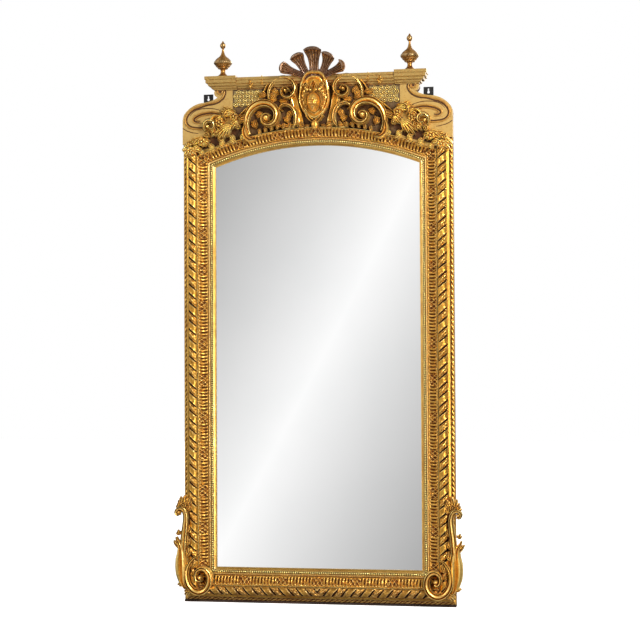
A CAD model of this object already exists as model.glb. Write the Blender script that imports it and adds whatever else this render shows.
"""Looks of the tall gilded pier mirror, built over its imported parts.

Sizes are millimetres in the same frame as the parts: X to the viewer's right, Z up, the wall at Y = 0,
and d for the distance in front of the wall, so that y = -d. Meshes are scaled to metres as they are made.
"""

import math

import bmesh
import bpy
import numpy as np
from mathutils import Matrix, Vector


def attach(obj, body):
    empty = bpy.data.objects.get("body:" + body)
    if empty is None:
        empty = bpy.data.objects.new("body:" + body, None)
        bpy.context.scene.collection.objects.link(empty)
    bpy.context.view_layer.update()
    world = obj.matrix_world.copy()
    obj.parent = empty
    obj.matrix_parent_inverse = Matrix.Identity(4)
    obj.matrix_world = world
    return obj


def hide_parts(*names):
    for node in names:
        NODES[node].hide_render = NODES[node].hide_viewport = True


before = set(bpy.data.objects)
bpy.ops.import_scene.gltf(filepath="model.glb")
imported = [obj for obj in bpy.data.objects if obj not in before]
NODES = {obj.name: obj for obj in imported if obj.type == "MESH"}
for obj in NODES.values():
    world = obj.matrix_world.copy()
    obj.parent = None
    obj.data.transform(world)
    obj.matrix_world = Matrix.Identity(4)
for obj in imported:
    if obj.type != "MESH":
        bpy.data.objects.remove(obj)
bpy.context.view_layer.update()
MM = 0.001


# Studio
# The mirror stands on a white floor in even white air. A key lamp hangs at the upper right, with a weaker
# fill at the left, a low lamp at the right and a wide one behind. The camera stands 6.4 m off, a little right
# of the middle, and looks slightly left and up.

CAMERA_PLACE = (1.0868, -6.3997, 1.0639)
CAMERA_YAW, CAMERA_PITCH, CAMERA_ROLL = (math.radians(a) for a in (9.58, 1.37, 0.31))
CAMERA_LENS = 84.375

sight_line = Vector((
    -math.sin(CAMERA_YAW) * math.cos(CAMERA_PITCH),
    math.cos(CAMERA_YAW) * math.cos(CAMERA_PITCH),
    math.sin(CAMERA_PITCH),
))
level = Vector((math.cos(CAMERA_YAW), math.sin(CAMERA_YAW), 0))
down = sight_line.cross(level)
across = math.cos(CAMERA_ROLL) * level + math.sin(CAMERA_ROLL) * down
down = math.cos(CAMERA_ROLL) * down - math.sin(CAMERA_ROLL) * level
camera = bpy.data.objects.new("camera", bpy.data.cameras.new("camera"))
camera.data.lens = CAMERA_LENS
turned = Matrix((across, -down, -sight_line)).transposed().to_4x4()
camera.matrix_world = Matrix.Translation(CAMERA_PLACE) @ turned
bpy.context.scene.collection.objects.link(camera)
bpy.context.scene.camera = camera
bpy.context.scene.view_settings.view_transform = "Standard"


def add_node(tree, kind, settings=None, **inputs):
    """Node with its settings, and its inputs given as values or as sockets to link from."""
    made = tree.nodes.new("ShaderNode" + kind)
    for key, value in (settings or {}).items():
        setattr(made, key, value)
    for key, value in inputs.items():
        numbered = key[0] == "i" and key[1:].isdigit()
        socket = made.inputs[int(key[1:]) if numbered else key.replace("_", " ")]
        if isinstance(value, bpy.types.NodeSocket):
            tree.links.new(value, socket)
        else:
            socket.default_value = value
    return made


def maths(tree, operation, first, second):
    """Sum, product or other result of two values."""
    return add_node(tree, "Math", {"operation": operation}, i0=first, i1=second).outputs[0]


LAMP_AIM = Vector((0, 0, 1.4))


def soft_lamp(name, place, size, power, colour):
    """Square area lamp that faces the middle of the mirror."""
    lamp = bpy.data.lights.new(name, "AREA")
    lamp.size = size
    lamp.energy = power
    lamp.color = colour
    holder = bpy.data.objects.new(name, lamp)
    holder.location = place
    holder.rotation_euler = (LAMP_AIM - Vector(place)).to_track_quat("-Z", "Y").to_euler()
    bpy.context.scene.collection.objects.link(holder)


soft_lamp("key", (3.3, -3.9, 3.7), 0.9, 300, (1, 0.95, 0.88))
soft_lamp("fill", (-3.9, -4.4, 3.2), 1.1, 72, (1, 0.97, 0.93))
soft_lamp("low", (2.5, -3.8, 0.5), 0.9, 45, (1, 0.95, 0.88))
soft_lamp("back", (1.5, 3.5, 3.0), 2.5, 90, (1, 1, 1))

# The room in front of the mirror, seen only in glossy reflections: a white stripe that falls to grey
STRIPE_ACROSS, STRIPE_UP, STRIPE_START = 0.8907, -0.4546, 0.1468
STRIPE_HALF, STRIPE_GREY, STRIPE_FALL = 0.36, 0.07, 2.2
AIR_LIGHT, FLOOR_GLOW, FLOOR_GREY = 0.34, 0.95, 0.86
world = bpy.data.worlds.new("studio")
bpy.context.scene.world = world
world.use_nodes = True
sky = world.node_tree
sky.nodes.clear()
view_ray = add_node(sky, "TexCoord").outputs["Generated"]
stripe = add_node(
    sky, "VectorMath", {"operation": "DOT_PRODUCT"}, i0=view_ray, i1=(STRIPE_ACROSS, 0, STRIPE_UP),
)
swing = maths(sky, "ADD", stripe.outputs["Value"], STRIPE_START)
swing = maths(sky, "PINGPONG", swing, STRIPE_HALF)
bright = add_node(sky, "MapRange", i0=swing, i1=0.0, i2=STRIPE_HALF, i3=1.0, i4=STRIPE_GREY)
bright = maths(sky, "POWER", bright.outputs[0], STRIPE_FALL)
path = add_node(sky, "LightPath")
room = add_node(sky, "Background", Color=bright, Strength=1.0)
air = add_node(sky, "Background", Color=(1, 1, 1, 1), Strength=AIR_LIGHT)
white = add_node(sky, "Background", Color=(1, 1, 1, 1), Strength=1.0)
mixed = add_node(sky, "MixShader", i0=path.outputs["Is Glossy Ray"], i1=air.outputs[0], i2=room.outputs[0])
seen = maths(sky, "MAXIMUM", path.outputs["Is Camera Ray"], path.outputs["Is Transmission Ray"])
mixed = add_node(sky, "MixShader", i0=seen, i1=mixed.outputs[0], i2=white.outputs[0])
add_node(sky, "OutputWorld", Surface=mixed.outputs[0])

# The floor keeps a faint shadow, and lets glossy rays through so that the plate shows only the room
FLOOR_REACH = 14
floor_mesh = bpy.data.meshes.new("floor")
floor_corners = [
    (x * FLOOR_REACH, y * FLOOR_REACH - 2, -0.0005) for x, y in ((-1, -1), (1, -1), (1, 1), (-1, 1))
]
floor_mesh.from_pydata(floor_corners, [], [(0, 1, 2, 3)])
floor = bpy.data.objects.new("floor", floor_mesh)
bpy.context.scene.collection.objects.link(floor)
paper = bpy.data.materials.new("floor_paper")
paper.use_nodes = True
sheet = paper.node_tree
sheet.nodes.clear()
path = add_node(sheet, "LightPath")
matt = add_node(sheet, "BsdfDiffuse", Color=(FLOOR_GREY, FLOOR_GREY, FLOOR_GREY, 1))
glow = add_node(sheet, "Emission", Color=(1, 1, 1, 1), Strength=FLOOR_GLOW)
glow = add_node(sheet, "MixShader", i0=path.outputs["Is Camera Ray"], i2=glow.outputs[0])
lit = add_node(sheet, "AddShader", i0=matt.outputs[0], i1=glow.outputs[0])
clear = add_node(sheet, "BsdfTransparent")
lit = add_node(sheet, "MixShader", i0=path.outputs["Is Glossy Ray"], i1=lit.outputs[0], i2=clear.outputs[0])
add_node(sheet, "OutputMaterial", Surface=lit.outputs[0])
floor_mesh.materials.append(paper)


# Carcass
# Stiles, rails and the tie board of old pine, 30 mm thick, halved and glued, bare at the back.
# Their grain runs along each board, and their front faces lie hidden under the gilded mouldings.


def coat(names, material):
    """Give pieces of the frame one finish."""
    for name in names:
        NODES[name].data.materials.clear()
        NODES[name].data.materials.append(material)


def new_material(name):
    """Empty material and its node tree."""
    made = bpy.data.materials.new(name)
    made.use_nodes = True
    made.node_tree.nodes.clear()
    return made, made.node_tree


def new_group(name, inputs, outputs):
    """Node group with float and colour inputs and outputs, and its two end nodes."""
    group = bpy.data.node_groups.new(name, "ShaderNodeTree")
    for label, value in inputs.items():
        kind = "NodeSocketFloat" if isinstance(value, (int, float)) else "NodeSocketColor"
        socket = group.interface.new_socket(name=label, in_out="INPUT", socket_type=kind)
        socket.default_value = value
    for label, kind in outputs.items():
        group.interface.new_socket(name=label, in_out="OUTPUT", socket_type=kind)
    return group, group.nodes.new("NodeGroupInput").outputs, group.nodes.new("NodeGroupOutput")


COLOUR, NUMBER = "NodeSocketColor", "NodeSocketFloat"


def mix_colour(tree, share, first, second, kind="MIX"):
    """Colour mix of two colours or sockets."""
    return add_node(
        tree, "Mix", {"data_type": "RGBA", "blend_type": kind}, i0=share, i6=first, i7=second,
    ).outputs[2]


def ramp(tree, value, low, high, to_low=0.0, to_high=1.0):
    """Smooth rise from one value to another."""
    made = add_node(
        tree, "MapRange", {"interpolation_type": "SMOOTHSTEP"}, i0=value, i1=low, i2=high, i3=to_low,
        i4=to_high,
    )
    return made.outputs[0]


def noise(tree, place, scale, detail, **more):
    """Noise pattern over a place."""
    return add_node(tree, "TexNoise", Vector=place, Scale=scale, Detail=detail, **more).outputs[0]


def surface(tree, **looks):
    """Principled surface, wired to the output of a material."""
    skin = add_node(tree, "BsdfPrincipled", **looks)
    add_node(tree, "OutputMaterial", Surface=skin.outputs[0])


def grain_group():
    """Sawn pine: long streaks of late wood, pores and a film of dust, along one axis."""
    group, given, result = new_group(
        "pine_grain",
        {"Pale": (0.42, 0.25, 0.11, 1), "Dark": (0.2, 0.1, 0.04, 1), "Along X": 0.0},
        {"Color": COLOUR, "Roughness": NUMBER, "Height": NUMBER},
    )
    place = add_node(group, "TexCoord").outputs["Object"]
    upright = add_node(group, "Mapping", i0=place, i3=(1, 1, 0.06)).outputs[0]
    lying = add_node(group, "Mapping", i0=place, i3=(0.06, 1, 1)).outputs[0]
    turned = add_node(
        group, "Mix", {"data_type": "VECTOR"}, i0=given["Along X"], i4=upright, i5=lying,
    ).outputs[1]
    streaks = noise(group, turned, 60.0, 5.0, Distortion=0.6)
    pores = noise(group, turned, 340.0, 3.0)
    stains = noise(group, place, 3.2, 4.0)
    wood = mix_colour(group, ramp(group, streaks, 0.38, 0.62), given["Pale"], given["Dark"])
    wood = mix_colour(group, ramp(group, stains, 0.45, 0.75, 0.0, 0.5), wood, given["Dark"])
    group.links.new(wood, result.inputs["Color"])
    group.links.new(ramp(group, pores, 0.3, 0.7, 0.72, 0.92), result.inputs["Roughness"])
    group.links.new(maths(group, "ADD", streaks, pores), result.inputs["Height"])
    return group


PINE_GRAIN = grain_group()


def wood_material(name, pale, dark, along_x):
    """Bare or stained wood with its grain up or across."""
    made, tree = new_material(name)
    grain = add_node(
        tree, "Group", {"node_tree": PINE_GRAIN}, Pale=(*pale, 1), Dark=(*dark, 1), Along_X=along_x
    ).outputs
    bump = add_node(tree, "Bump", Strength=0.35, Distance=0.0008, Height=grain["Height"]).outputs[0]
    surface(tree, Base_Color=grain["Color"], Roughness=grain["Roughness"], Normal=bump)
    return made


pine_upright = wood_material("pine_upright", (0.34, 0.2, 0.09), (0.17, 0.085, 0.035), 0.0)
pine_across = wood_material("pine_across", (0.31, 0.18, 0.08), (0.15, 0.075, 0.03), 1.0)
coat(["stile_left", "stile_right"], pine_upright)
coat(["bottom_rail", "head_rail", "crest_back"], pine_across)


# Back
# Thin upright backboards, three cross battens let in flush with the stiles, and small glazing blocks.
# They are paler pine than the carcass, sawn and never finished.

backboard_pine = wood_material("backboard_pine", (0.46, 0.29, 0.14), (0.27, 0.15, 0.065), 0.0)
batten_pine = wood_material("batten_pine", (0.4, 0.25, 0.12), (0.22, 0.12, 0.05), 1.0)
coat(["backboard_left", "backboard_right", "glass_blocks"], backboard_pine)
coat(["back_battens"], batten_pine)


# Plate
# Old silvered glass, 6 mm thick, with an arched head, held in the rebate behind the slip.
# The silvering is bright, with the faintest cloud in it.

silvering, tree = new_material("silvered_plate")
place = add_node(tree, "TexCoord").outputs["Object"]
cloud = noise(tree, place, 2.5, 6.0)
silver = mix_colour(tree, ramp(tree, cloud, 0.35, 0.75), (0.985, 0.985, 0.985, 1), (0.955, 0.96, 0.96, 1))
surface(tree, Base_Color=silver, Roughness=0.012, Metallic=1.0)
coat(["mirror_glass"], silvering)


# Gilding
# Oil and water gilding over red bole on composition and carved wood. The leaf is rubbed through on high
# edges, duller on the flats, and dark with old size and dust in every recess.


def gilding_group():
    """Leaf colour that turns to bole where it is rubbed and to soot in the recesses."""
    group, given, result = new_group(
        "aged_leaf",
        {
            "Leaf": (0.8, 0.45, 0.07, 1), "Bole": (0.3, 0.09, 0.015, 1), "Soot": (0.03, 0.012, 0.004, 1),
            "Rubbing": 0.5, "Grime": 1.0, "Reach": 0.012,
        },
        {"Color": COLOUR, "Roughness": NUMBER, "Metallic": NUMBER, "Height": NUMBER},
    )
    place = add_node(group, "TexCoord").outputs["Object"]
    patches = noise(group, place, 11.0, 4.0, Roughness=0.6)
    rubs = noise(group, place, 95.0, 5.0, Roughness=0.62)
    tooth = noise(group, place, 420.0, 2.0)
    hollow = add_node(group, "AmbientOcclusion", {"samples": 6}, Distance=given["Reach"]).outputs["AO"]
    crease = ramp(group, hollow, 0.78, 0.12)
    edge = ramp(group, add_node(group, "NewGeometry").outputs["Pointiness"], 0.51, 0.58)
    dull = mix_colour(group, 1.0, given["Leaf"], (0.8, 0.66, 0.5, 1), "MULTIPLY")
    bright = mix_colour(group, 1.0, given["Leaf"], (1.15, 1.5, 2.8, 1), "MULTIPLY")
    leaf = mix_colour(group, ramp(group, patches, 0.3, 0.7), dull, given["Leaf"])
    leaf = mix_colour(group, edge, leaf, bright)
    amount = maths(group, "MULTIPLY", ramp(group, rubs, 0.5, 0.68), given["Rubbing"])
    worn = mix_colour(group, amount, leaf, given["Bole"])
    speckle = ramp(group, rubs, 0.25, 0.6, 1.15, 0.7)
    depth = maths(group, "MULTIPLY", crease, given["Grime"])
    limited = {"operation": "MULTIPLY", "use_clamp": True}
    depth = add_node(group, "Math", limited, i0=depth, i1=speckle).outputs[0]
    bole_edge = mix_colour(group, ramp(group, depth, 0.05, 0.45), worn, given["Bole"])
    dirty = mix_colour(group, ramp(group, depth, 0.3, 0.95), bole_edge, given["Soot"])
    group.links.new(dirty, result.inputs["Color"])
    group.links.new(ramp(group, depth, 0.0, 0.6, 1.0, 0.1), result.inputs["Metallic"])
    group.links.new(ramp(group, depth, 0.0, 0.7, 0.0, 0.4), result.inputs["Roughness"])
    group.links.new(maths(group, "ADD", rubs, tooth), result.inputs["Height"])
    return group


AGED_LEAF = gilding_group()


def gilt_material(name, leaf, bole, rubbing, grime, reach, gloss, relief, metal=0.82):
    """Gilded finish: leaf and bole colours, wear, and how far dust creeps out of a recess."""
    made, tree = new_material(name)
    coatings = add_node(
        tree, "Group", {"node_tree": AGED_LEAF},
        Leaf=(*leaf, 1), Bole=(*bole, 1), Rubbing=rubbing, Grime=grime, Reach=reach,
    ).outputs
    rough = maths(tree, "ADD", coatings["Roughness"], gloss)
    bump = add_node(tree, "Bump", Strength=relief, Distance=0.0006, Height=coatings["Height"]).outputs[0]
    shine = maths(tree, "MULTIPLY", coatings["Metallic"], metal)
    surface(
        tree, Base_Color=coatings["Color"], Roughness=rough, Metallic=shine, Normal=bump,
        Specular_IOR_Level=0.25,
    )
    return made



RED_BOLE = (0.3, 0.085, 0.014)
carved_gilt = gilt_material("carved_gilt", (0.9, 0.5, 0.085), RED_BOLE, 0.4, 0.9, 0.0055, 0.3, 0.35)
moulded_gilt = gilt_material("moulded_gilt", (0.8, 0.45, 0.08), RED_BOLE, 0.6, 1.3, 0.015, 0.3, 0.4)
spray_gilt = gilt_material("spray_gilt", (1.0, 0.62, 0.13), RED_BOLE, 0.3, 0.62, 0.006, 0.28, 0.35)
flat_gilt = gilt_material("flat_gilt", (0.47, 0.235, 0.04), RED_BOLE, 0.3, 1.2, 0.012, 0.42, 0.3, 0.5)
burnished_gilt = gilt_material("burnished_gilt", (0.86, 0.52, 0.12), RED_BOLE, 0.25, 1.3, 0.011, 0.26, 0.15)


# Slip, pearls and fillet
# The moulding next to the glass: a burnished slip, a string of 7.4 mm pearls and a rounded fillet.
# Composition on pine, in four lengths: two uprights, the foot and the arched head, mitred at the corners.

SIGHT_HALF, SIGHT_FOOT = 446, 152
ARCH_RADIUS, ARCH_CENTRE, SPRING = 1210, 762, 1886.8
MITRE_RISE, MITRE_RUN = 49.8, 75
MOULDING_BACK = 30
WELD = 0.00002


def upright_place(s, u, side):
    """Point of an upright: s is the height, u the distance outward from the glass."""
    return side * (SIGHT_HALF + u), s


def foot_place(s, u, side):
    """Point of the foot member: s runs across from the middle."""
    return s, SIGHT_FOOT - u


def arch_place(s, u, side):
    """Point of the arched head: s is measured along the glass from the middle."""
    turn = s / ARCH_RADIUS
    return (ARCH_RADIUS + u) * np.sin(turn), ARCH_CENTRE + (ARCH_RADIUS + u) * np.cos(turn)


def upright_ends(u, top):
    """Heights where an upright stops: the mitre below, and the mitre at the arch or a square end above."""
    if top is None:
        return SIGHT_FOOT - u, SPRING + u * MITRE_RISE / MITRE_RUN
    return SIGHT_FOOT - u, top + 0 * u


def foot_ends(u, top):
    """Mitred ends of the foot member."""
    return -SIGHT_HALF - u, SIGHT_HALF + u


def arch_ends(u, top):
    """Mitred ends of the arched head."""
    reach = ARCH_RADIUS * np.arcsin((SIGHT_HALF + u) / (ARCH_RADIUS + u))
    return -reach, reach


LENGTHS = {
    "upright": (upright_place, upright_ends), "foot": (foot_place, foot_ends),
    "arch": (arch_place, arch_ends),
}


def add_piece(name, points, faces, material, replaced=(), crisp=40, slot="gilding"):
    """Object of the mirror from points (x, d, z) in millimetres, closed where its ends are open."""
    mesh = bpy.data.meshes.new(name)
    points = np.asarray(points, float)
    spots = np.column_stack([points[:, 0], -points[:, 1], points[:, 2]]) * MM
    mesh.from_pydata(spots.tolist(), [], [tuple(face) for face in faces])
    shape = bmesh.new()
    shape.from_mesh(mesh)
    bmesh.ops.remove_doubles(shape, verts=shape.verts, dist=WELD)
    bmesh.ops.dissolve_degenerate(shape, edges=shape.edges, dist=WELD)
    bmesh.ops.holes_fill(shape, edges=[edge for edge in shape.edges if edge.is_boundary], sides=0)
    bmesh.ops.recalc_face_normals(shape, faces=shape.faces)
    shape.to_mesh(mesh)
    shape.free()
    mesh.polygons.foreach_set("use_smooth", [True] * len(mesh.polygons))
    mesh.set_sharp_from_angle(angle=math.radians(crisp))
    mesh.materials.append(material)
    made = bpy.data.objects.new(name, mesh)
    bpy.context.scene.collection.objects.link(made)
    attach(made, "root")
    if replaced:
        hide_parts(*replaced)
    return made


def grid_faces(rows, columns, closed):
    """Quads of a grid of points, joined round its columns if it is closed."""
    first = np.arange(rows - 1)[:, None] * columns
    column = np.arange(columns if closed else columns - 1)[None, :]
    after = (column + 1) % columns
    corners = [first + column, first + after, first + columns + after, first + columns + column]
    return np.stack([corner.ravel() for corner in corners], 1)


def length_of_moulding(kind, side, profile, carve, pitch, top=None):
    """Points and quads of one length: a profile (u, d) carried along it and carved by carve(s, u, d)."""
    place, ends = LENGTHS[kind]
    u, d = np.array(profile, float).T
    low, high = ends(u, top)
    count = int((high.max() - low.min()) / pitch) + 2
    s = np.linspace(low.min(), high.max(), count)[:, None] + 0 * u[None, :]
    s = np.clip(s, low, high)
    u = u[None, :] + 0 * s
    depth = carve(s, u, d[None, :] + 0 * s) if carve else d[None, :] + 0 * s
    x, z = place(s, u, side)
    points = np.stack([x, depth, z], -1).reshape(-1, 3)
    faces = grid_faces(count, len(profile), True)
    spread = points[faces]
    area = np.linalg.norm(np.cross(spread[:, 2] - spread[:, 0], spread[:, 3] - spread[:, 1]), axis=1)
    return points, faces[area > 0.001]


def add_moulding(name, profile, carve, pitch, material, kinds, node, top=None, crisp=40, slot="gilding"):
    """Every length of one moulding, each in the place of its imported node."""
    for kind, side, ending in kinds:
        points, faces = length_of_moulding(
            kind, side, profile, carve, pitch, top if kind == "upright" else None,
        )
        add_piece(f"{name}_{ending}", points, faces, material, [f"{node}_{ending}"], crisp, slot)


SIDES = [("upright", 1, "right"), ("upright", -1, "left"), ("foot", 1, "foot")]
ROUND_TOP = [("arch", 1, "arch")]

SLIP_PROFILE = [
    (0, 30), (0, 34), (1.5, 35.2), (6, 38.2), (10, 40.2), (12.2, 41), (13.4, 40.2), (13.6, 34.5),
    (22.2, 34.5), (22.4, 40.6), (23.4, 43), (25.5, 46.2), (28, 47.6), (30.5, 46.2), (32, 43.6), (33.4, 43),
    (34, 42), (34, 30),
]
add_moulding(
    "slip", SLIP_PROFILE, None, 12, burnished_gilt, SIDES + ROUND_TOP, "sight", slot="burnished_gilding",
)

PEARL_LINE, PEARL_PITCH, PEARL_RADIUS, PEARL_SEAT = 18, 9.4, 3.7, 41.4


def pearl_string(kind, side):
    """Pearls of one length, each a low ball with a flat back."""
    place, ends = LENGTHS[kind]
    low, high = ends(np.array([float(PEARL_LINE)]), None)
    count = int((high[0] - low[0]) / PEARL_PITCH)
    turns, rings = 10, 4
    ball = [(0, 0, 1)]
    for ring in range(1, rings + 1):
        tilt = math.pi * 0.62 * ring / rings
        for i in range(turns):
            turn = 2 * math.pi * i / turns
            ball.append((math.sin(tilt) * math.cos(turn), math.sin(tilt) * math.sin(turn), math.cos(tilt)))
    ball = np.array(ball) * PEARL_RADIUS
    caps = [(0, 1 + i, 1 + (i + 1) % turns) for i in range(turns)]
    sides = [tuple(face + 1) for face in grid_faces(rings, turns, True)]
    points, faces = [], []
    for i in range(count):
        x, z = place(low[0] + (i + 0.5) * (high[0] - low[0]) / count, PEARL_LINE, side)
        faces += [tuple(len(points) + corner for corner in face) for face in caps + sides]
        points += [(x + across, PEARL_SEAT + out, z + up) for across, up, out in ball]
    return points, faces


for kind, side, ending in SIDES + ROUND_TOP:
    add_piece(f"pearls_{ending}", *pearl_string(kind, side), spray_gilt, slot="burnished_gilding")


# Leaf cove
# The hollow beside the pearls, 41 mm wide, cast with a row of upright leaves 14 mm apart that cross it,
# and with a cluster of crossed acanthus about every 160 mm.

CARVING_STEP = 1.6
LEAF_PITCH, CLUSTER_PITCH, CLUSTER_HALF = 14.0, 160.0, 26.0
COVE_IN, COVE_OUT = 37.0, 71.0


def swell(value, centre, half):
    """Rounded hump of height 1."""
    return np.clip(1 - ((value - centre) / half) ** 2, 0, 1) ** 0.5


def fold(value, pitch):
    """Distance from the nearest multiple of a pitch, from 0 to half a pitch."""
    return np.abs((value + pitch / 2) % pitch - pitch / 2)


def carve_leaves(s, u, d):
    """Leaves across the cove, pressed apart by deep drill lines, and the crossed clusters."""
    inside = np.clip((u - COVE_IN) / 3, 0, 1) * np.clip((COVE_OUT - u) / 2.5, 0, 1)
    across = (u - COVE_IN) / (COVE_OUT - COVE_IN)
    bow = 1.6 * np.sin(np.pi * across)
    leaf = np.clip(1 - (fold(s + bow, LEAF_PITCH) / (LEAF_PITCH * 0.36)) ** 2, 0, 1) ** 0.5
    vein = np.exp(-((fold(s + bow, LEAF_PITCH) / 1.3) ** 2)) * (across > 0.25)
    dart = np.exp(-((fold(s + bow + LEAF_PITCH / 2, LEAF_PITCH) / 1.6) ** 2)) * swell(across, 0.72, 0.3)
    tip = 0.55 + 0.75 * across
    row = 6.4 * leaf * tip - 2.0 * vein + 5.0 * dart - 5.5 * (1 - leaf) * (across < 0.88)
    station = (s + CLUSTER_PITCH / 2) % CLUSTER_PITCH - CLUSTER_PITCH / 2
    crossed = np.minimum(fold(station + 24 * across, 17.0), fold(station - 24 * across, 17.0))
    bud = 4.2 * swell(station, 0, 5) * swell(across, 0.5, 0.5)
    cluster = 9.0 * np.exp(-((crossed / 3.2) ** 2)) - 4.5 + bud
    share = np.clip((CLUSTER_HALF - np.abs(station)) / 5, 0, 1)
    return d + inside * (row * (1 - share) + cluster * share)


def cove_profile():
    """Hollow that rises outward, with its lip at the torus."""
    rows = [(34, 30), (34, 44), (35, 45.6)]
    for step in range(25):
        u = COVE_IN - 1 + (COVE_OUT + 1 - COVE_IN + 1) * step / 24
        rows.append((u, 45.4 + 16.5 * max(0, (u - 42) / 30) ** 2.0))
    return rows + [(73, 65.4), (74, 66), (75, 66), (75, 30)]


add_moulding(
    "cove", cove_profile(), carve_leaves, CARVING_STEP, moulded_gilt, SIDES + ROUND_TOP, "leaf_cove",
    crisp=60,
)


# Ribbon torus
# The big half-round, 41 mm wide, wrapped with a ribbon in slanting turns every 78 mm. Between the plain
# turns lie husks with three lobes. Outside it runs a plain bright fillet.

TURN_PITCH, SLANT = 78.0, 0.86
TORUS_MIDDLE, TORUS_HALF, TORUS_TOP = 96.0, 20.5, 1960


def carve_ribbon(s, u, d):
    """Slots beside each turn, raised ribbon edges, and husks between the turns."""
    v = (u - TORUS_MIDDLE) / TORUS_HALF
    on_torus = np.clip((1 - np.abs(v)) / 0.16, 0, 1)
    along = s - SLANT * (u - TORUS_MIDDLE)
    half_turn = TURN_PITCH / 2
    from_slot = fold(along, half_turn)
    slot_half = 2.6 + 1.9 * np.clip(v + 0.3, 0, 1.3)
    slot = np.exp(-((from_slot / slot_half) ** 4)) * np.clip((v + 0.8) / 0.3, 0, 1)
    phase = (along % TURN_PITCH) / TURN_PITCH
    plain = (phase < 0.5).astype(float)
    inside = (along % half_turn) / half_turn - 0.5
    ribbon = 1.6 * np.exp(-(((np.abs(inside) - 0.33) / 0.06) ** 2)) + 0.6 * np.cos(np.pi * inside)
    lobes = np.zeros_like(s)
    for offset, size in ((-0.62, 6.5), (0.0, 8.5), (0.62, 6.5)):
        lengthwise = (inside * half_turn - 5 * offset) / (size * 1.05)
        crosswise = (v - offset) * TORUS_HALF / size
        spread = lengthwise**2 + crosswise**2
        lobes = np.maximum(lobes, np.clip(1 - spread, 0, 1) ** 0.5 * size * 0.62)
    veins = 1.6 * np.cos(2 * np.pi * (inside * half_turn + v * 6) / 6.5)
    husk = 1.2 * lobes + veins * (lobes < 0.6) - 3.6
    return d + on_torus * (plain * ribbon + (1 - plain) * husk - 15.0 * slot)


def torus_profile():
    """Half-round with a dark joint on its inner side and a fillet on its outer side."""
    rows = [(75, 30), (75, 54), (75.6, 57)]
    for step in range(27):
        v = -1 + 2 * step / 26
        bulge = 19.5 * math.sqrt(max(0, 1 - v * v))
        rows.append((TORUS_MIDDLE + TORUS_HALF * v, 57.5 + bulge + 1.5 * (step > 0)))
    return rows + [(117, 51), (118, 50.2), (123, 49.6), (127.6, 48.4), (128.6, 46.6), (129, 44), (129, 30)]


foot_gilt = gilt_material("foot_gilt", (0.6, 0.33, 0.07), (0.2, 0.06, 0.014), 0.7, 1.3, 0.015, 0.32, 0.4)
add_moulding(
    "ribbon", torus_profile(), carve_ribbon, CARVING_STEP, moulded_gilt, SIDES[:2], "ribbon_torus", TORUS_TOP,
    60,
)


def carve_foot_ribbon(s, u, d):
    """Foot ribbon, whose turns lean away from the middle to each side."""
    return carve_ribbon(-np.abs(s), u, d)


add_moulding(
    "ribbon", torus_profile(), carve_foot_ribbon, CARVING_STEP, foot_gilt, SIDES[2:], "ribbon_torus",
    crisp=60,
)


# Foot strip
# Hardwood strip 8 mm high, stained nearly black, that takes the wear on the floor. It is 40 mm deep here, so
# that it ends under the rope, 38 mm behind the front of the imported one.

foot_stain = wood_material("foot_stain", (0.055, 0.03, 0.018), (0.018, 0.01, 0.006), 1.0)
foot_section = [(0, 0), (0, 8), (38.5, 8), (40, 6.5), (40, 0)]
foot_points = [(x, depth, z) for x in (-590, 590) for depth, z in foot_section]
add_piece("foot_strip", foot_points, grid_faces(2, 5, True), foot_stain, ["plinth_strip"], 30, "plinth_wood")


# Rope edge
# Twisted bead, 15 mm wide, on the outermost edge. Its strands climb 21.5 mm a turn.

STRAND_PITCH, STRAND_STEP, ROPE_MIDDLE, ROPE_HALF, ROPE_TOP = 21.5, 2.0, 136.5, 7.5, 1990


def carve_strands(s, u, d):
    """Full strands with a deep groove between them."""
    along = s + 1.15 * (u - ROPE_MIDDLE)
    strand = np.clip(1 - (fold(along, STRAND_PITCH) / (STRAND_PITCH * 0.47)) ** 2, 0, 1) ** 0.5
    return MOULDING_BACK + (d - MOULDING_BACK) * (0.15 + 0.85 * strand)


def rope_profile():
    """Half-round bead on the edge of the carcass."""
    rows = [(129, 29.6)]
    for step in range(13):
        turn = math.pi * step / 12
        rows.append((ROPE_MIDDLE - ROPE_HALF * math.cos(turn), MOULDING_BACK + 7 * math.sin(turn) ** 0.8))
    return rows + [(144, 29.6)]


add_moulding(
    "rope_bead", rope_profile(), carve_strands, STRAND_STEP, moulded_gilt, SIDES[:2], "rope", ROPE_TOP, 60,
)
add_moulding("rope_bead", rope_profile(), carve_strands, STRAND_STEP, foot_gilt, SIDES[2:], "rope", crisp=60)


# Crest boards
# Flat boards behind the carving. The middle one is nearly black between the scrolls, and the shoulders
# keep a flat ochre leaf under raised bands that coil to the outer corner.

dark_gilt = gilt_material(
    "shaded_gilt", (0.11, 0.052, 0.013), (0.04, 0.014, 0.005), 0.9, 1.2, 0.03, 0.55, 0.4, 0.2,
)
coat(["crest_face"], dark_gilt)
coat(["shoulder_left", "shoulder_right"], flat_gilt)

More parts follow.
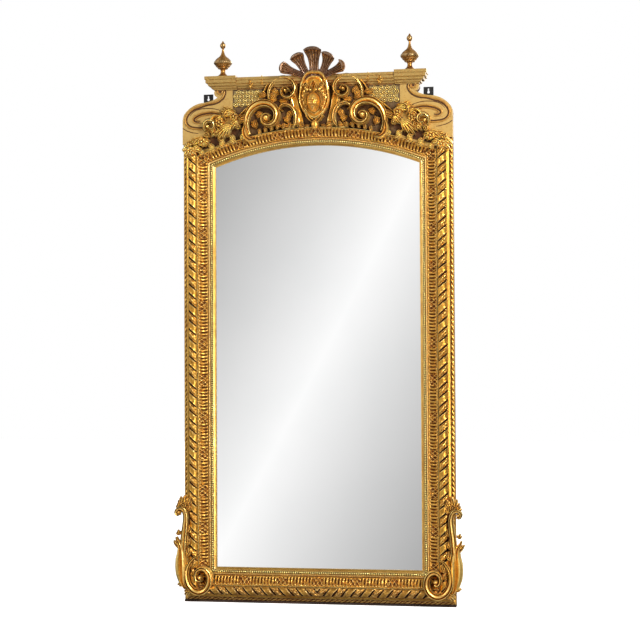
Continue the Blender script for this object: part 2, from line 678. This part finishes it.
ROUND = [
    (-1, 0), (-0.93, 0.42), (-0.7, 0.76), (-0.38, 0.95), (0, 1), (0.38, 0.95), (0.7, 0.76), (0.93, 0.42),
    (1, 0),
]
CHANNEL = [
    (-1, 0), (-0.99, 0.62), (-0.93, 0.82), (-0.83, 0.86), (-0.74, 0.72), (-0.66, 0.66), (-0.52, 0.86),
    (-0.28, 0.98), (0, 1), (0.26, 0.92), (0.4, 0.76), (0.5, 0.66), (0.6, 0.72), (0.76, 0.92), (0.9, 0.9),
    (0.98, 0.7), (1, 0),
]
STRAP = [
    (-1, 0), (-0.99, 0.8), (-0.88, 1), (-0.76, 0.96), (-0.68, 0.7), (0, 0.62), (0.68, 0.7), (0.76, 0.96),
    (0.88, 1), (0.99, 0.8), (1, 0),
]
VEINED = [
    (-1, 0), (-0.94, 0.55), (-0.66, 0.9), (-0.42, 0.96), (-0.2, 0.84), (0, 0.7), (0.2, 0.84), (0.42, 0.96),
    (0.66, 0.9), (0.94, 0.55), (1, 0),
]


def smooth_line(points, count):
    """Evenly spaced points on the smooth curve through the given ones."""
    points = np.asarray(points, float)
    ends = np.vstack([2 * points[0] - points[1], points, 2 * points[-1] - points[-2]])
    t = np.linspace(0, 1, 12, endpoint=False)[:, None]
    curve = []
    for before, start, end, after in zip(ends, ends[1:], ends[2:], ends[3:]):
        bend = 2 * before - 5 * start + 4 * end - after
        twist = 3 * start - before - 3 * end + after
        curve.append(0.5 * (2 * start + (end - before) * t + bend * t**2 + twist * t**3))
    curve = np.vstack(curve + [points[-1:]])
    travelled = np.concatenate([[0], np.cumsum(np.linalg.norm(np.diff(curve, axis=0), axis=1))])
    wanted = np.linspace(0, travelled[-1], count)
    return np.column_stack([np.interp(wanted, travelled, column) for column in curve.T])


def spread_over(values, count):
    """Values spread evenly over a number of stations."""
    values = np.atleast_1d(np.asarray(values, float))
    return np.interp(np.linspace(0, 1, count), np.linspace(0, 1, len(values)), values)


def band(points, widths, back, fronts, section, stations=24):
    """Carved band along a smooth line (x, z) with a cross-section of (side, rise)."""
    line = smooth_line(points, stations)
    along = np.gradient(line, axis=0)
    along /= np.linalg.norm(along, axis=1)[:, None]
    side = np.column_stack([-along[:, 1], along[:, 0]])
    across, rise = np.array(section, float).T
    half = spread_over(widths, stations) / 2
    floor_depth = spread_over(back, stations)
    reach = spread_over(fronts, stations) - floor_depth
    flat = line[:, None, :] + side[:, None, :] * (half[:, None] * across)[..., None]
    depth = floor_depth[:, None] + reach[:, None] * rise
    points = np.stack([flat[..., 0], depth, flat[..., 1]], -1).reshape(-1, 3)
    return points, grid_faces(stations, len(section), True)


def dome(x, z, radius, back, front, stretch=1.0, turns=16, flute=0.0, petals=5):
    """Rounded button, plain or fluted into petals."""
    rows = [(1.0, 0.0), (1.0, 0.35), (0.92, 0.62), (0.74, 0.84), (0.46, 0.96), (0.14, 1.0)]
    angles = np.linspace(0, 2 * np.pi, turns, endpoint=False)
    wave = 1 - flute * (0.5 + 0.5 * np.cos(petals * angles))
    points = []
    for share, rise in rows:
        across = radius * share * wave * np.cos(angles)
        up = stretch * radius * share * wave * np.sin(angles)
        points.append(np.column_stack([x + across, np.full(turns, back + (front - back) * rise), z + up]))
    return np.vstack(points), grid_faces(len(rows), turns, True)


def blade(root, heading, length, width, back, front, bend=0.0, tip=0.12):
    """Leaf lobe with a midrib. It starts along a heading and bends by some degrees to its tip."""
    steps = 7
    points = [root]
    for i in range(steps):
        turn = math.radians(heading + bend * (i + 0.5) / steps)
        x, z = points[-1]
        points.append((x + length / steps * math.cos(turn), z + length / steps * math.sin(turn)))
    widths = [0.45 * width, 0.8 * width, width, 0.92 * width, 0.66 * width, tip * width]
    rise = front - back
    fronts = [back + 0.62 * rise, back + 0.85 * rise, front, front, back + 0.9 * rise, back + 0.45 * rise]
    return band(points, widths, back, fronts, VEINED, 12)


def acanthus(root, heading, length, width, back, front, bend=0.0, pairs=3):
    """Leaf of several lobes that open from a bent midrib."""
    parts = [blade(root, heading, length, width * 0.42, back, front, bend)]
    for i in range(pairs):
        share = (i + 0.4) / pairs * 0.72
        turn = math.radians(heading + bend * share * 0.5)
        start = (root[0] + length * share * math.cos(turn), root[1] + length * share * math.sin(turn))
        lobe = width * (0.78 - 0.3 * share)
        for swing in (-1, 1):
            turned = heading + bend * share + swing * 48
            parts.append(blade(start, turned, lobe, lobe * 0.5, back, front - 3 - 2 * share, -swing * 34))
    return parts


def flower(x, z, radius, back, front, petals=5, turn=0.0):
    """Open flower of cupped petals round a button."""
    parts = []
    for i in range(petals):
        heading = turn + 360 * i / petals
        reach = math.radians(heading)
        root = (x + 0.2 * radius * math.cos(reach), z + 0.2 * radius * math.sin(reach))
        parts.append(blade(root, heading, 0.8 * radius, 1.05 * radius, back, front - 2, 0, 0.5))
    parts.append(dome(x, z, 0.3 * radius, back, front))
    return parts


def scroll_line(eye, inner, outer, start, turn, opening, stretch=1.0, count=None):
    """Points of a scroll from its open end to its eye. Angles are degrees, anticlockwise from +X."""
    share = np.linspace(0, 1, count or int(abs(turn) / 14))
    radius = inner + (outer - inner) * (1 - share) ** opening
    angle = np.radians(start + turn * share)
    return np.column_stack([eye[0] + radius * np.cos(angle), eye[1] + stretch * radius * np.sin(angle)])


def joined(parts, flip=1):
    """One list of points and faces from several parts, turned over for the left-hand side."""
    points, faces, shift = [], [], 0
    for spots, corners in parts:
        points.append(np.asarray(spots, float) * (flip, 1, 1))
        faces += [tuple(int(corner) + shift for corner in face) for face in corners]
        shift += len(spots)
    return np.vstack(points), faces


def add_pair(name, parts, material, node=None, crisp=50, slot="gilding"):
    """Right-hand carving and its left-hand twin."""
    for ending, flip in (("right", 1), ("left", -1)):
        replaced = [f"{node}_{ending}"] if node else []
        add_piece(f"{name}_{ending}", *joined(parts, flip), material, replaced, crisp, slot)


BOARD = 45
OUTER_GROOVE = [
    (402, 2228), (396, 2215), (400, 2200), (410, 2184), (430, 2170), (452, 2163), (478, 2160), (505, 2152),
    (535, 2143), (558, 2127), (571, 2107), (572, 2092), (565, 2077), (547, 2067), (510, 2063), (468, 2067),
]
UPPER_LINE = [
    (385, 2100), (400, 2120), (420, 2135), (450, 2144), (480, 2147), (514, 2144), (540, 2134), (558, 2116),
]
INNER_GROOVE = [
    (415, 2105), (430, 2118), (462, 2125), (500, 2121), (523, 2113), (537, 2104), (539, 2096), (532, 2090),
    (520, 2087), (511, 2090),
]
LOWER_LINE = [(590, 2062), (570, 2050), (545, 2042), (520, 2038)]
groove_dust = gilt_material(
    "groove_dust", (0.08, 0.03, 0.008), (0.05, 0.018, 0.005), 0.6, 1.0, 0.01, 0.6, 0.2, 0.1,
)
RIDGE = [(-1, 0), (-0.9, 0.7), (-0.5, 1), (0.5, 1), (0.9, 0.7), (1, 0)]
groove_parts = [
    band(OUTER_GROOVE, [4, 6, 6, 6, 7, 7, 7, 6, 5], BOARD, 45.8, RIDGE, 60),
    band(UPPER_LINE, [2, 3, 4, 4, 2], BOARD, 45.8, RIDGE, 30),
    band(INNER_GROOVE, [3, 6, 7, 7, 6, 3], BOARD, 45.8, RIDGE, 44),
    band(LOWER_LINE, [4, 4, 3], BOARD, 45.8, RIDGE, 12),
    dome(423, 2217, 5.5, BOARD, 45.9, turns=14),
]
add_pair("shoulder_grooves", groove_parts, groove_dust)


def beside(line, offset):
    """The smooth line shifted sideways by some millimetres."""
    line = smooth_line(line, 50)
    along = np.gradient(line, axis=0)
    along /= np.linalg.norm(along, axis=1)[:, None]
    return line + offset * np.column_stack([-along[:, 1], along[:, 0]])


shoulder_parts = [
    band(beside(OUTER_GROOVE, 6.5), [5, 7, 8, 8, 8, 6], BOARD, 50.5, ROUND, 60),
    band(beside(INNER_GROOVE, 6), [5, 7, 7, 7, 4], BOARD, 50, ROUND, 44),
    band(beside(INNER_GROOVE, -6), [4, 6, 6, 6, 4], BOARD, 49.5, ROUND, 44),
    band(scroll_line((423, 2217), 11, 12, 60, -330, 1), [5, 6, 6, 5], BOARD, 50, ROUND, 30),
]
add_pair("shoulder_coils", shoulder_parts, flat_gilt, "shoulder_scroll")


# Diaper panels
# Pressed panels beside the shell, 126 by 67 mm, with ring rosettes set in quincunx.

diaper_ground = gilt_material(
    "diaper_ground", (0.27, 0.16, 0.035), (0.08, 0.028, 0.008), 0.8, 1.0, 0.012, 0.5, 0.4, 0.4,
)
diaper_gilt = gilt_material("diaper_gilt", (0.72, 0.46, 0.1), RED_BOLE, 0.4, 1.0, 0.008, 0.36, 0.4)
panel_board = [band([(233, 2184), (359, 2184)], [67, 67], BOARD, 47, [(-1, 0), (-1, 1), (1, 1), (1, 0)], 2)]
RING = [(-1, 0), (-0.6, 0.8), (0, 1), (0.6, 0.8), (1, 0)]
diaper_parts = []
for row in range(4):
    for column in range(5):
        x, z = 244 + 27 * column + 13.5 * (row % 2), 2158 + 17.5 * row
        if x < 354:
            ring = scroll_line((x, z), 8.4, 8.4, 0, 360, 1, count=18)
            diaper_parts += [band(ring, [5.4, 5.4], 46, 51, RING, 18), dome(x, z, 4.2, 46, 51.5, turns=8)]
add_pair("diaper_ground", panel_board, diaper_ground, "diaper")
add_pair("diaper_rosettes", diaper_parts, diaper_gilt)


# Cornice
# Stepped cornice of plain bands on crest and blocks, 56 mm high, with small leaf clips on the bands.

cornice_gilt = gilt_material("cornice_gilt", (0.36, 0.18, 0.03), RED_BOLE, 0.5, 1.5, 0.022, 0.42, 0.35, 0.5)
coat(["cornice_middle", "cornice_cap_left", "cornice_cap_right"], cornice_gilt)
clip_parts = [
    *acanthus((282, 2230), 90, 38, 30, 58, 80, 0, 2), *acanthus((232, 2238), 90, 42, 26, 58, 79, 0, 2),
    dome(282, 2232, 6, 60, 78), *acanthus((212, 2196), 8, 42, 30, BOARD, 66, -20, 2),
    *acanthus((176, 2176), 70, 36, 34, BOARD, 66, -40, 2),
    *acanthus((200, 2170), 150, 34, 30, BOARD, 62, 30, 2),
]
add_pair("cornice_leaves", clip_parts, carved_gilt)


# Finials
# Turned urns with a ridged belly and a ball on a long neck, 160 mm high, in dull bronzed leaf.

bronze = gilt_material("bronzed_gilt", (0.36, 0.2, 0.085), (0.1, 0.035, 0.016), 0.9, 1.0, 0.02, 0.4, 0.6)
urn_gilt = gilt_material("urn_gilt", (0.5, 0.27, 0.07), (0.12, 0.04, 0.014), 0.8, 1.2, 0.016, 0.34, 0.5)
URN_PROFILE = [
    (0, 2280), (28, 2280), (28, 2282.5), (25, 2285), (19, 2289), (13, 2295), (10.5, 2301), (10, 2308),
    (12, 2313.5), (16, 2316), (22, 2317.5), (23, 2320), (24, 2323), (29, 2326), (32, 2329.5), (31.5, 2331.5),
    (36, 2335), (40, 2341), (39, 2347.5), (36.5, 2350.5), (35, 2352), (31, 2358), (25, 2363.5), (19, 2368),
    (13.5, 2373), (9.5, 2379), (6.5, 2388), (4.5, 2398), (4.2, 2405), (7.5, 2408), (11.5, 2413), (13, 2419),
    (11.5, 2425), (8, 2429), (4.8, 2433), (3, 2437), (1.5, 2439.5), (0, 2440),
]
URN_PLACE, URN_TURNS = (409, 44), 36


def lathe(centre_x, centre_depth, profile, turns):
    """Turned shape round an upright axis, from (radius, height) rows."""
    angles = np.linspace(0, 2 * np.pi, turns, endpoint=False)
    rings = []
    for radius, height in profile:
        x, depth = centre_x + radius * np.cos(angles), centre_depth + radius * np.sin(angles)
        rings.append(np.column_stack([x, depth, np.full(turns, height)]))
    return np.vstack(rings), grid_faces(len(profile), turns, True)


add_pair("urn", [lathe(*URN_PLACE, URN_PROFILE, URN_TURNS)], urn_gilt, "finial", 35, "bronzed_gilding")


# Shell
# Five flared and grooved lobes that rise from behind the cartouche and curl forward, in brown bronzed leaf.

LOBE_STATIONS = [
    (0.0, 76, 0, 0.62, 8), (0.35, 82, 6, 0.56, 8), (0.62, 92, 22, 0.7, 8), (0.8, 106, 42, 0.94, 8),
    (0.9, 122, 68, 1.04, 8), (0.9, 138, 96, 1.02, 7), (0.85, 152, 118, 0.84, 4),
]
LOBE_FOOT = 2262
LOBE_STEPS, LOBE_COLUMNS = 26, 25


def shell_lobe(lean, root, length, spread):
    """Lobe with a narrow neck and a head of rounded flutes that rolls forward."""
    rows = smooth_line(LOBE_STATIONS, LOBE_STEPS)
    across = np.linspace(-1, 1, LOBE_COLUMNS)
    flutes = 0.75 * np.abs(np.cos(2.5 * np.pi * across)) * (1 - np.abs(across) ** 6)
    front_face = 0.3 * (1 - across**4) + flutes
    points = []
    for share, depth, tilt, width, thick in rows:
        forward, lowering = math.cos(math.radians(tilt)), math.sin(math.radians(tilt))
        rounding = 1 - 0.1 * np.abs(across) ** 2 * max(0, share - 0.6) * 2.5
        x = np.concatenate([spread * width * across, spread * width * across[::-1] * 0.96])
        lift = np.concatenate([front_face, -0.7 * (1 - across**4)])
        z = share * length * np.concatenate([rounding, rounding]) - thick * lift * lowering
        points.append(np.column_stack([x, depth + thick * lift * forward, z]))
    points = np.vstack(points)
    turn = math.radians(lean)
    x = points[:, 0] * math.cos(turn) + points[:, 2] * math.sin(turn) + root
    z = -points[:, 0] * math.sin(turn) + points[:, 2] * math.cos(turn) + LOBE_FOOT
    return np.column_stack([x, points[:, 1], z]), grid_faces(LOBE_STEPS, 2 * LOBE_COLUMNS, True)


lobes = [shell_lobe(0, 0, 128, 37)]
for lean, root, length, spread in ((26, 28, 108, 30), (70, 26, 130, 25)):
    for flip in (1, -1):
        spots, corners = shell_lobe(lean, root, length, spread)
        lobes.append((spots * (flip, 1, 1), corners))
lobes.append(dome(0, 2258, 50, 54, 72, 0.9))
add_piece("shell", *joined(lobes), bronze, ["shell_plumes"], 60, "bronzed_gilding")


# Cartouche
# Arched plate with a double rim, strapwork at its sides and a pointed collar, 45 to 98 mm from the wall.

CARTOUCHE = [
    (0, 2288), (26, 2284), (44, 2270), (56, 2245), (62, 2215), (64, 2185), (60, 2150), (48, 2120), (28, 2098),
    (10, 2086), (0, 2082),
]


def cushion(right_edge, centre, rows, corners=48):
    """Plate with both halves of an outline, stepped inward by rows of (share, depth)."""
    right = smooth_line(right_edge, corners // 2)
    whole = np.vstack([right, right[-2:0:-1] * (-1, 1)])
    points = []
    for share, depth in rows:
        x, z = (centre + share * (whole - centre)).T
        points.append(np.column_stack([x, np.full(len(whole), depth), z]))
    return np.vstack(points), grid_faces(len(rows), len(whole), True)


def both(parts):
    """Parts and their twins on the other side of the middle."""
    return parts + [(np.asarray(spots) * (-1, 1, 1), corners) for spots, corners in parts]


cartouche_parts = [
    cushion(
        CARTOUCHE, (0, 2190),
        [
            (1, 45), (1, 78), (0.985, 83), (0.95, 84), (0.92, 82), (0.91, 76), (0.85, 75), (0.83, 79),
            (0.79, 80), (0.77, 77), (0.1, 82),
        ],
    ),
    *both([
        band(
            [(94, 2205), (88, 2170), (80, 2135), (68, 2100), (62, 2072), (70, 2048)],
            [30, 30, 24, 19, 18, 20], BOARD, [60, 66, 64, 60, 58, 64], STRAP, 26,
        ),
        band(
            [(76, 2232), (86, 2212), (84, 2186), (76, 2164)], [5, 11, 9, 4], BOARD, [70, 82, 80, 66], ROUND,
            16,
        ),
        band(
            [(34, 2236), (52, 2222), (60, 2196), (62, 2168), (56, 2138), (42, 2112), (30, 2092)],
            [6, 9, 9, 10, 9, 9, 6], 70, [88, 92, 91, 90, 88, 86, 80], ROUND, 30,
        ),
        band([(28, 2100), (16, 2086), (4, 2078)], [8, 8, 5], 60, [86, 90, 86], ROUND, 10),
        band([(38, 2098), (22, 2078), (10, 2068)], [9, 8, 4], 52, [78, 82, 76], ROUND, 10),
        band(
            [(0, 2281), (22, 2279), (38, 2268), (48, 2248), (52, 2228)], [17, 17, 16, 14, 10], 60,
            [98, 98, 96, 94, 88], ROUND, 22,
        ),
        band(
            [(0, 2262), (18, 2259), (31, 2247), (38, 2230)], [12, 12, 11, 7], 76, [90, 91, 90, 84], ROUND, 14,
        ),
    ]),
    *both([
        *acanthus((46, 2052), 30, 46, 30, 50, 74, -30, 2), *acanthus((26, 2060), 320, 30, 24, 48, 70, 20, 2),
        blade((98, 2052), -14, 42, 18, 50, 72, 20), blade((74, 2050), 196, 32, 15, 50, 72, -24),
    ]),
]
add_piece("cartouche_plate", *joined(cartouche_parts), carved_gilt, ["cartouche"], 50)


# Mask
# A calm classical mask in high relief, 58 by 86 mm, of this model's own design, with hair in waved locks.
# The eyes lie at half its height, and the nose and mouth divide the rest evenly.

FACE_CENTRE, FACE_HALF_WIDTH, FACE_HALF_HEIGHT = 2152, 29, 43
FACE_BACK, FACE_FRONT = 84, 134
FACE_FORMS = [
    (11.5, 8.5, 8, 3.2, 3.6), (11.2, 0.5, 6.4, 4.4, -10.5), (11.2, 0.2, 4.2, 2.4, 6.6),
    (11.2, 3.2, 4.8, 0.9, 1.8), (11.2, -3.2, 4.6, 0.9, 1.2), (0, -2, 3.0, 8.5, 7.0),
    (0, -13.5, 4.4, 4.2, 10.5), (4.8, -17, 2.3, 2.2, 4.6), (0, -21, 4, 1.8, -2.4), (5, -24.4, 4.2, 1.4, 3.6),
    (0, -26.8, 8.8, 0.9, -4.2), (0, -29.4, 5.4, 2.0, 4.8), (0, -33.2, 7, 1.7, -3.6), (0, -37.5, 7, 4.0, 6.0),
    (15.5, -12, 6.5, 7.5, 3.4), (13, -25, 4.4, 6.5, -2.6), (0, 22, 13, 8, 1.6),
]


def mask_surface():
    """Face as rings from its edge to the middle, pushed out by rounded forms (x, z, width, height, rise)."""
    rings, turns = 34, 72
    angle = np.linspace(0, 2 * np.pi, turns, endpoint=False)[None, :]
    share = np.linspace(1, 0.01, rings)[:, None]
    jaw = 1 - 0.16 * np.clip(-np.sin(angle), 0, 1) ** 2
    x = FACE_HALF_WIDTH * share * np.cos(angle) * jaw
    z = FACE_HALF_HEIGHT * share * np.sin(angle)
    depth = FACE_BACK + 14 + (FACE_FRONT - FACE_BACK - 14) * (1 - share**2.4) ** 0.62
    for middle, height, wide, tall, rise in FACE_FORMS:
        for side in ((1, -1) if middle else (1,)):
            depth = depth + rise * np.exp(-(((x - side * middle) / wide) ** 2 + ((z - height) / tall) ** 2))
    skirt = np.stack([x[0], np.full(turns, FACE_BACK), z[0] + FACE_CENTRE], -1)
    points = np.vstack([skirt, np.stack([x, depth, z + FACE_CENTRE], -1).reshape(-1, 3)])
    return points, grid_faces(rings + 1, turns, True)


mask_gilt = gilt_material("mask_gilt", (0.92, 0.55, 0.12), RED_BOLE, 0.12, 1.0, 0.016, 0.3, 0.12)
add_piece("mask", *mask_surface(), mask_gilt, ["mask_head"], 80)

hair_parts = [
    band(
        [(6, 2192), (20, 2186), (29, 2172), (32, 2154), (28, 2138), (33, 2124)], [9, 11, 10, 10, 8, 4], 84,
        [118, 116, 108, 103, 99, 92], VEINED, 26,
    ),
    band(
        [(14, 2196), (32, 2188), (39, 2170), (37, 2152), (43, 2138)], [8, 12, 11, 9, 4], 84,
        [112, 112, 104, 99, 90], VEINED, 24,
    ),
    band([(30, 2112), (38, 2124), (35, 2137)], [4, 8, 5], 84, [90, 96, 92], ROUND, 10),
    dome(27, 2203, 8.5, 90, 113), dome(40, 2196, 7.5, 88, 107), dome(35, 2211, 6.5, 88, 105),
    dome(12, 2201, 6.5, 92, 116), dome(46, 2178, 6.5, 84, 101), dome(50, 2163, 5, 84, 97),
    dome(41, 2184, 6, 88, 106), *acanthus((20, 2208), 32, 30, 26, 84, 106, 40, 2),
    blade((44, 2204), 250, 28, 13, 84, 100, 20), blade((8, 2208), 70, 22, 10, 88, 110, 10),
    band([(0, 2246), (7, 2234), (13, 2220), (17, 2206)], [5, 7, 7, 6], 84, [104, 110, 112, 110], ROUND, 12),
    band([(0, 2230), (5, 2220), (9, 2208)], [4, 5, 4], 86, [100, 104, 104], ROUND, 8),
    band(scroll_line((36, 2226), 3, 13, 200, -400, 1.2), [5, 6, 6, 4], 84, [96, 100, 103], ROUND, 30),
]
add_piece("wreath", *joined(both(hair_parts)), carved_gilt, ["headdress"], 60)

DROP = [(0, 2080), (9, 2077), (15, 2066), (16, 2055), (12, 2043), (0, 2036)]
drop_rows = [(1, 45), (1, 62), (0.94, 70), (0.8, 76), (0.55, 80), (0.3, 81.5), (0.05, 82)]
add_piece("drop", *cushion(DROP, (0, 2058), drop_rows, 32), carved_gilt, ["pendant_drop"], 60)


# Scrolls
# Open scrolls with beaded edges, coiled like snails: the great one 212 mm over its back, the one beside
# the mask, and the one that rises to the cornice. Leaves spring from behind them.

GREAT_EYE, UPPER_EYE = (209, 2091), (126, 2207)
great_parts = [
    band(
        scroll_line(GREAT_EYE, 15, 106, -40, 560, 2.3), [14, 26, 32, 30, 25, 18, 13],
        BOARD, [66, 80, 90, 94, 96, 99, 103], CHANNEL, 100,
    ),
    dome(*GREAT_EYE, 13, 60, 106),
    band(
        [(302, 2066), (309, 2040), (303, 2014), (284, 1999), (258, 2000)], [10, 22, 26, 20, 5], 52,
        [86, 92, 94, 92, 80], VEINED, 26,
    ),
    band(
        [(160, 2120), (176, 2152), (212, 2172), (256, 2166), (300, 2138), (336, 2108)], [3, 7, 8, 9, 8, 4],
        BOARD, [60, 68, 70, 70, 70, 62], ROUND, 36,
    ),
    *acanthus((292, 2094), 10, 52, 40, BOARD, 78, -50, 3),
    *acanthus((258, 2052), 62, 40, 34, BOARD, 66, 20, 2),
    *acanthus((232, 2120), -20, 34, 30, BOARD, 62, -30, 2),
]
FRINGE = [(112, 2052), (138, 2050), (164, 2048), (190, 2044), (216, 2038), (242, 2030)]
for i, (x, z) in enumerate(FRINGE):
    great_parts.append(blade((x - 4, z - 4), 62 - 3 * i, 24, 14, 56, 84, 70))
    great_parts.append(blade((x + 6, z - 5), 150 - 3 * i, 20, 13, 56, 80, -60))
add_pair("great_volute", great_parts, carved_gilt, "great_scroll")

inner_parts = [
    band(
        [
            (140, 2122), (152, 2130), (150, 2142), (134, 2149), (113, 2146), (95, 2132), (84, 2110),
            (81, 2086), (85, 2064), (98, 2048),
        ],
        [6, 10, 13, 16, 18, 19, 19, 18, 17, 12], BOARD, [66, 74, 80, 84, 84, 84, 84, 82, 80, 72], CHANNEL, 44,
    ),
    *acanthus((108, 2126), 280, 40, 30, BOARD, 62, 30, 3),
    *acanthus((140, 2094), 200, 34, 30, BOARD, 60, 30, 2), blade((112, 2050), 30, 40, 18, BOARD, 66, -30),
    blade((146, 2056), 10, 34, 16, BOARD, 64, 40),
]
add_pair("inner_volute", inner_parts, carved_gilt, "inner_scroll")

upper_parts = [
    band(
        scroll_line(UPPER_EYE, 13, 84, -22, 560, 2.1), [8, 15, 20, 18, 14, 11, 8], BOARD,
        [62, 72, 80, 84, 87, 90, 92], CHANNEL, 76,
    ),
    dome(*UPPER_EYE, 7, 56, 96),
    band(
        [(150, 2259), (186, 2254), (212, 2234), (226, 2210), (244, 2204)], [5, 8, 8, 7, 3], BOARD,
        [60, 70, 70, 66, 58], ROUND, 24,
    ),
    *acanthus((160, 2196), 30, 40, 30, BOARD, 62, 30, 3),
    *acanthus((122, 2170), 340, 40, 28, BOARD, 60, 40, 2), blade((104, 2176), 250, 36, 18, BOARD, 62, 20),
]
add_pair("upper_volute", upper_parts, carved_gilt, "upper_scroll")


# Sprays
# Acanthus, open flowers and a small volute that fall from each great scroll over the corner of the arch.

def fan(root, heading, lengths, width, back, front, spread, bend=0.0):
    """Blades that open from one root, side by side."""
    middle = (len(lengths) - 1) / 2
    return [
        blade(root, heading + (i - middle) * spread, length, width, back, front - 2 * abs(i - middle), bend)
        for i, length in enumerate(lengths)
    ]


BLADE_FAN = [58, 78, 92, 82, 60]
spray_parts = [
    *fan((372, 2070), -42, BLADE_FAN, 21, BOARD, 84, 13, -14),
    *fan((356, 2128), -12, [52, 66, 56], 22, BOARD, 80, 20, 30),
    *fan((342, 2094), -70, [44, 56, 42], 18, BOARD, 74, 22, 30),
    *fan((404, 2108), -18, [44, 56, 44], 18, BOARD, 76, 22, -40),
    *fan((432, 2056), -60, [40, 50, 40], 17, BOARD, 74, 24, 20),
    *fan((500, 2020), -50, [44, 60, 44], 20, BOARD, 80, 24, 20),
    *fan((500, 2004), 200, [36, 44, 34], 18, 50, 78, 26, 20),
    *fan((520, 2002), 8, [34, 42, 30], 17, BOARD, 76, 28, -30),
    *fan((552, 1972), -62, [36, 46, 36], 20, 60, 84, 26, 20),
    *fan((556, 1976), 60, [22, 30, 24], 15, 46, 76, 34, 30),
    *fan((536, 1966), 170, [30, 36, 30], 18, 60, 84, 28, 10),
    band(
        scroll_line((462, 2066), 9, 31, -40, 330, 0.8), [8, 16, 18, 15, 9], BOARD, [70, 82, 86, 84, 74],
        CHANNEL, 50,
    ),
    band(scroll_line((438, 2046), 4, 14, 100, 400, 1.0), [6, 8, 7, 5], BOARD, [76, 84, 88], ROUND, 34),
    band(
        [(352, 2128), (372, 2136), (392, 2128), (402, 2108), (396, 2092)], [5, 13, 15, 12, 5], BOARD,
        [72, 84, 86, 84, 72], VEINED, 24,
    ),
    band(
        [(424, 2112), (444, 2108), (456, 2094), (450, 2078)], [4, 12, 14, 5], BOARD, [74, 88, 86, 72], ROUND,
        16,
    ),
    *flower(356, 2104, 19, BOARD, 86, 5, 20), *flower(420, 2078, 20, BOARD, 88, 6, 5),
    *flower(498, 1996, 20, 60, 90, 5, 40), *flower(544, 1958, 19, 72, 94, 6, 10),
    *flower(478, 2028, 14, BOARD, 82, 5, 60), *flower(340, 2060, 13, BOARD, 78, 5, 0),
    dome(474, 2064, 8, BOARD, 78),
]
RIM_LEAVES = [
    (328, 2018, 196), (352, 2006, 20), (372, 2002, 190), (398, 1990, 14), (420, 1984, 186), (444, 1972, 10),
    (466, 1966, 184), (490, 1950, 4),
]
for x, z, heading in RIM_LEAVES:
    spray_parts += fan((x, z), heading, [24, 32, 24], 14, 60, 82, 26, 30)
spray_parts += [dome(566 + 6 * i, 1990 - 8 * i, 7, 46, 70) for i in range(4)]
void = [(352, 2062), (392, 2034), (440, 2010), (484, 1992), (520, 1976)]
add_pair("spray_void", [band(void, [58, 66, 60, 44, 30], BOARD, 46.4, RIDGE, 20)], groove_dust)
add_pair("spray", spray_parts, spray_gilt, "garland")


# Corner volutes
# Standing volutes over the bottom mitres. From each a long acanthus climbs the outer edge to a flower.

CORNER_EYE = (508, 112)
volute_parts = [
    band(
        scroll_line(CORNER_EYE, 11, 74, 84, -560, 1.3, 1.25), [8, 18, 27, 30, 26, 19, 12],
        52, [86, 94, 100, 104, 104, 107, 109], CHANNEL, 100,
    ),
    dome(*CORNER_EYE, 11, 60, 112), *fan((560, 60), -62, [28, 36, 28], 18, 56, 90, 26, 30),
    *fan((548, 150), 120, [30, 38, 30], 16, 60, 92, 26, -30),
    *fan((540, 118), 60, [22, 28, 22], 14, 60, 86, 30, 30),
]
add_pair("foot_volute", volute_parts, carved_gilt, "corner_volute")

climbing_parts = [
    band(
        [(578, 60), (590, 92), (595, 132), (596, 176), (595, 218), (600, 250), (611, 268), (617, 284)],
        [10, 34, 50, 54, 50, 36, 20, 8], 62, [86, 94, 98, 100, 100, 98, 96, 88], VEINED, 50,
    ),
    band(
        [
            (592, 196), (586, 240), (582, 290), (576, 336), (574, 374), (583, 401), (602, 407), (615, 394),
            (610, 380), (598, 382),
        ],
        [14, 28, 26, 25, 24, 22, 20, 18, 14, 8], 60, [90, 96, 98, 98, 98, 98, 98, 99, 100, 100], CHANNEL, 66,
    ),
    dome(603, 391, 8, 64, 99), *fan((572, 246), 104, [40, 50, 38], 18, 60, 92, 24, -24),
    *fan((574, 200), 118, [36, 46, 34], 18, 60, 92, 24, -30),
    *fan((566, 300), 108, [30, 38, 30], 15, 60, 88, 26, -20),
    *fan((604, 292), 62, [18, 24, 18], 13, 60, 88, 34, 30), blade((606, 232), 70, 44, 18, 60, 92, -30),
    *fan((586, 86), -32, [26, 30], 18, 56, 92, 26, 10),
]
add_pair("climbing_leaf", climbing_parts, carved_gilt, "corner_acanthus")

bloom_parts = [
    *fan((588, 416), 84, [34, 44, 52, 40], 18, 60, 94, 26, 10),
    *fan((598, 408), 30, [24, 26], 15, 60, 90, 30, 20),
    *fan((570, 420), 118, [34, 44, 34], 17, 60, 90, 26, -10),
    *fan((562, 396), 104, [26, 34, 26], 15, 60, 86, 30, -20), *flower(582, 424, 15, 64, 98, 5, 15),
    dome(566, 444, 6, 60, 88), dome(600, 436, 5.5, 60, 88),
]
add_pair("corner_bloom", bloom_parts, carved_gilt, "corner_flower")


# Hanging plates
# Black steel plates let into the back of each shoulder, 43 mm wide, with a keyhole and two slotted screws.

steel, tree = new_material("black_steel")
place = add_node(tree, "TexCoord").outputs["Object"]
wear = noise(tree, place, 220.0, 3.0)
tint = mix_colour(tree, ramp(tree, wear, 0.55, 0.75), (0.012, 0.012, 0.013, 1), (0.05, 0.045, 0.04, 1))
surface(tree, Base_Color=tint, Roughness=ramp(tree, wear, 0.3, 0.8, 0.32, 0.6), Metallic=0.3)
coat(["hanging_plates"], steel)

dull_steel, tree = new_material("screw_steel")
surface(tree, Base_Color=(0.3, 0.28, 0.25, 1), Roughness=0.45, Metallic=1.0)
coat(["plate_screws"], dull_steel)
